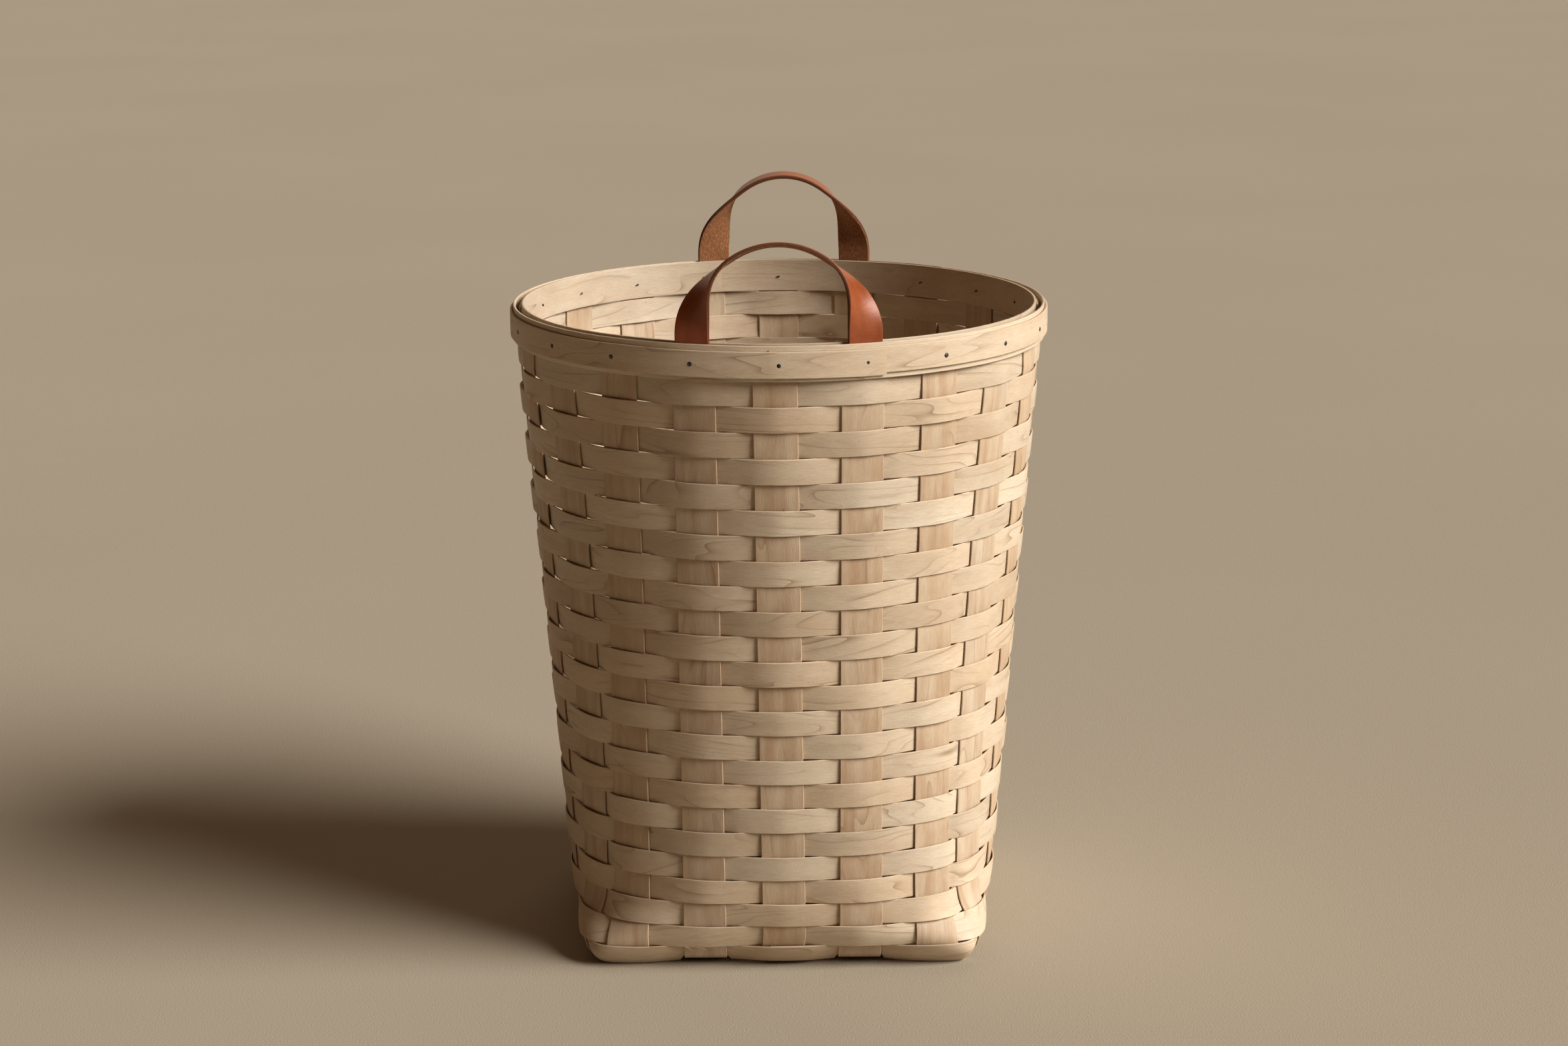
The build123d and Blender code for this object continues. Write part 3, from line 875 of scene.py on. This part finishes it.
def leather_grain():
    """The strap's smooth dyed side: faint pores, creases across it and worn shoulders."""
    s = Shader("strap_grain", 0.4, 0.5)
    uv = s.add("ShaderNodeUVMap", uv_map="UVMap").outputs[0]
    edge = s.add("ShaderNodeAttribute", attribute_name="cut_edge").outputs["Fac"]
    cloud = s.noise(s.stretch(uv, 35.0, 60.0), detail=4.0, rough=0.6)
    pores = s.noise(s.stretch(uv, 1700.0, 1700.0, 3.0), detail=2.0, rough=0.6)
    creases = s.noise(s.stretch(uv, 420.0, 90.0, 5.0), detail=3.0, rough=0.6, distort=0.4)
    scratch = s.noise(s.stretch(uv, 130.0, 1500.0, 8.0), detail=1.0, distort=1.2)
    scuff = s.math("MULTIPLY", s.span(scratch, 0.70, 0.76), s.span(cloud, 0.5, 0.6))
    colour = s.mix(s.span(cloud, 0.3, 0.7), (0.30, 0.085, 0.030, 1), (0.42, 0.14, 0.055, 1))
    colour = s.mix(s.span(pores, 0.25, 0.6, 0.35, 0.0), colour, (0.16, 0.045, 0.018, 1))
    colour = s.mix(s.math("MULTIPLY", scuff, 0.35), colour, (0.62, 0.33, 0.18, 1))
    colour = s.mix(s.math("MULTIPLY", edge, 0.35), colour, (0.16, 0.06, 0.03, 1))
    s.link(colour, s.surface.inputs["Base Color"])
    s.link(s.span(cloud, 0.3, 0.7, 0.34, 0.46), s.surface.inputs["Roughness"])
    fine = s.bump(pores, 0.00010, 0.55)
    s.link(s.bump(creases, 0.00022, 0.5, fine), s.surface.inputs["Normal"])
    return s.material


def leather_flesh():
    """The strap's napped inner side."""
    s = Shader("strap_flesh", 0.92, 0.2)
    uv = s.add("ShaderNodeUVMap", uv_map="UVMap").outputs[0]
    nap = s.noise(s.stretch(uv, 460.0, 600.0), detail=5.0, rough=0.75)
    cloud = s.noise(s.stretch(uv, 60.0, 90.0, 2.0), detail=3.0)
    hairs = s.noise(s.stretch(uv, 700.0, 2600.0, 5.0), detail=3.0, rough=0.7, distort=0.8)
    colour = s.mix(s.span(nap, 0.3, 0.7), (0.17, 0.065, 0.028, 1), (0.58, 0.30, 0.15, 1))
    colour = s.mix(s.span(hairs, 0.5, 0.72, 0.0, 0.65), colour, (0.78, 0.52, 0.31, 1))
    colour = s.mix(s.span(cloud, 0.35, 0.7, 0.0, 0.25), colour, (0.24, 0.09, 0.04, 1))
    s.link(colour, s.surface.inputs["Base Color"])
    s.surface.inputs["Sheen Weight"].default_value = 0.25
    s.surface.inputs["Sheen Roughness"].default_value = 0.5
    s.surface.inputs["Sheen Tint"].default_value = (0.8, 0.5, 0.3, 1)
    rough = s.bump(nap, 0.0006, 0.9)
    s.link(s.bump(hairs, 0.0003, 0.6, rough), s.surface.inputs["Normal"])
    return s.material


def leather_edge():
    """The strap's raw cut edge, ridged by the cutter and fibrous."""
    s = Shader("strap_edge", 0.85, 0.25)
    uv = s.add("ShaderNodeUVMap", uv_map="UVMap").outputs[0]
    ridges = s.noise(s.stretch(uv, 560.0, 350.0), detail=4.0, rough=0.7)
    fluff = s.noise(s.stretch(uv, 2300.0, 2300.0, 4.0), detail=2.0)
    colour = s.mix(s.span(ridges, 0.36, 0.6), (0.055, 0.024, 0.014, 1), (0.30, 0.135, 0.075, 1))
    colour = s.mix(s.span(fluff, 0.54, 0.72, 0.0, 0.55), colour, (0.60, 0.37, 0.23, 1))
    s.link(colour, s.surface.inputs["Base Color"])
    s.link(s.bump(ridges, 0.0007, 1.0), s.surface.inputs["Normal"])
    return s.material


def steel():
    """Dark tack steel, dented and lightly worn."""
    s = Shader("tack_steel_worn", 0.38, 0.5)
    place = s.add("ShaderNodeTexCoord").outputs["Object"]
    dents = s.noise(s.stretch(place, 900.0, 900.0), detail=2.0)
    wear = s.noise(s.stretch(place, 2200.0, 2200.0, 3.0), detail=3.0, rough=0.65)
    colour = s.mix(s.span(wear, 0.35, 0.7), (0.035, 0.037, 0.042, 1), (0.24, 0.24, 0.25, 1))
    s.link(colour, s.surface.inputs["Base Color"])
    s.surface.inputs["Metallic"].default_value = 0.85
    s.link(s.span(wear, 0.3, 0.7, 0.3, 0.55), s.surface.inputs["Roughness"])
    s.link(s.bump(dents, 0.0004, 0.7), s.surface.inputs["Normal"])
    return s.material


def floor_cover():
    """The studio floor: plain, pale and faintly uneven."""
    s = Shader("studio_floor", 0.9, 0.2)
    place = s.add("ShaderNodeTexCoord").outputs["Object"]
    cloud = s.noise(s.stretch(place, 1.2, 1.2), detail=2.0)
    grain = s.noise(s.stretch(place, 700.0, 700.0), detail=2.0)
    colour = s.mix(s.span(cloud, 0.3, 0.7), (0.465, 0.412, 0.33, 1), (0.48, 0.426, 0.342, 1))
    colour = s.mix(s.span(grain, 0.3, 0.7, 0.12, 0.0), colour, (0.40, 0.37, 0.31, 1))
    s.link(colour, s.surface.inputs["Base Color"])
    s.link(s.bump(grain, 0.0006, 0.5), s.surface.inputs["Normal"])
    return s.material


# ---- build the pieces
CREAM = np.array([0.80, 0.735, 0.61])
TAN = np.array([0.72, 0.60, 0.455])


def strip_colour(rng, warmth):
    """A strip's own colour, between cream at 0 and pinkish tan at 1."""
    share = np.clip(warmth + rng.uniform(-0.35, 0.35), 0, 1)
    colour = CREAM * (1 - share) + TAN * share
    colour = colour * rng.uniform(0.90, 1.08)
    return (*colour.tolist(), 1.0)


# the third number sets how strongly the figure streaks, with their painted sheen, show; strongest on the
# uprights
splint = wood("weaver_wood", 13.0, 0.20, 0.62, 0.6, 0.5)
stave = wood("upright_wood", 8.0, 0.62, 0.45, 0.35, 0.55)
band_wood = wood("rim_wood", 10.0, 0.25, 0.55, 0.4, 0.52)
tones = np.random.default_rng(9)


def place_piece(piece, materials, slot, colour, body, *nodes):
    """Gives a piece its materials, colour and body, and hides the CAD nodes it stands for; slot is not
    used.
    """
    for material in materials:
        piece.data.materials.append(material)
    if colour:
        piece.color = colour
    if body:
        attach(piece, body)
    if nodes:
        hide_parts(*nodes)
    return piece


for row in range(1, ROW_COUNT + 1):
    colour = strip_colour(tones, 0.35)
    place_piece(weaver(row), [splint], "weaver_splint", colour, "basket", f"weaver_{row:02d}")

for parity, kind in ((0, "front_rear"), (1, "left_right")):
    for column in range(-HALF_FACE, HALF_FACE + 1):
        node = f"upright_{kind}_{column + HALF_FACE + 1}"
        colour = strip_colour(tones, 0.75)
        place_piece(upright(column, parity), [stave], "upright_splint", colour, "basket", node)

inner_start = INNER_HOOP_RADIUS - INNER_HOOP_THICK
band_start = BAND_RADIUS - BAND_THICK
trim_start = RIM_RADIUS - TRIM_THICK
# node, inner radius, thickness, lower and upper edge, lap's place and length in degrees,
# how much lower the strip's end lies than its start, seed
hoops = (
    ("rim_inner_hoop", inner_start, INNER_HOOP_THICK, 454.2, 479.8, 130.0, 26.0, 0.3, 31),
    ("rim_outer_band", band_start, BAND_THICK, 453.6, 479.3, 75.0, 26.0, 0.3, 32),
    ("rim_outer_trim", trim_start, TRIM_THICK, 456.4, 475.4, -68.0, 24.0, 1.6, 33),
)
for node, start, thick, low, high, lap_at, lap, drop, seed in hoops:
    ring = bent_hoop(f"{node}_splint", start, thick, low, high, lap_at, lap, drop, seed)
    place_piece(ring, [band_wood], "rim_splint", strip_colour(tones, 0.3), "basket", node)

place_piece(tacks(), [steel()], "tack_steel", None, "basket", "rim_tacks")
place_piece(slivers(), [splint], "weaver_splint", (*CREAM.tolist(), 1.0), "basket")

leather = [leather_grain(), leather_flesh(), leather_edge()]
for name, ahead, seed in (("front", -1, 1), ("rear", 1, 2)):
    piece = strap(f"handle_{name}_strap", ahead, seed)
    nodes = (f"handle_{name}_loop", f"handle_{name}_tail_left", f"handle_{name}_tail_right")
    place_piece(piece, leather, "strap_leather", None, None, *nodes)
    reach = ahead * STRAP_REACH * MM
    low, high = (0, reach, RIM_TOP * MM), (0, reach, (RIM_TOP + 2 * HINGE_LIFT) * MM)
    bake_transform(piece)

# ---- floor, light and camera, which reproduces the picture's viewpoint
FLOOR_PLACE = (0, 0, -0.0005)
bpy.ops.mesh.primitive_circle_add(vertices=96, radius=14.0, fill_type="TRIFAN", location=FLOOR_PLACE)
floor = bpy.context.object
floor.name = "studio_floor"
floor.data.materials.append(floor_cover())

# a little warm light from all round, and the picture's soft contrast
world = bpy.data.worlds.new("studio")
world.use_nodes = True
world.node_tree.nodes["Background"].inputs["Color"].default_value = (1.0, 0.42, 0.05, 1)
world.node_tree.nodes["Background"].inputs["Strength"].default_value = 0.09
bpy.context.scene.world = world
bpy.context.scene.view_settings.view_transform = "Standard"
bpy.context.scene.view_settings.look = "None"
bpy.context.scene.view_settings.gamma = 0.8


def soft_light(name, azimuth, elevation, spread, strength, colour):
    """A far soft light. Azimuth 0 is the right and -90 the front, and spread its width in degrees."""
    lamp = bpy.data.lights.new(name, "SUN")
    lamp.angle = radians(spread)
    lamp.energy = strength
    lamp.color = colour
    flat = cos(radians(elevation))
    way = Vector((cos(radians(azimuth)) * flat, sin(radians(azimuth)) * flat, sin(radians(elevation))))
    add_object(name, lamp).rotation_euler = way.to_track_quat("Z", "Y").to_euler()


soft_light("key", -22, 32, 36, 4.8, (1.0, 0.99, 0.97))
soft_light("back", 95, 28, 70, 0.7, (1.0, 0.90, 0.76))

CAMERA_PLACE = (0.003, -2.547, 0.904)  # metres
CAMERA_PITCH = 13.23
CAMERA_ROLL = -0.34
FOCAL_WIDTHS = 2.170566  # focal length in widths of the picture

camera_data = bpy.data.cameras.new("camera")
camera_data.sensor_width = 36.0
camera_data.lens = 36.0 * FOCAL_WIDTHS
camera_data.clip_end = 100.0
camera = add_object("camera", camera_data)
camera.location = CAMERA_PLACE
tip = Matrix.Rotation(radians(90 - CAMERA_PITCH), 4, "X")
camera.rotation_euler = (tip @ Matrix.Rotation(radians(CAMERA_ROLL), 4, "Z")).to_euler()
bpy.context.scene.camera = camera
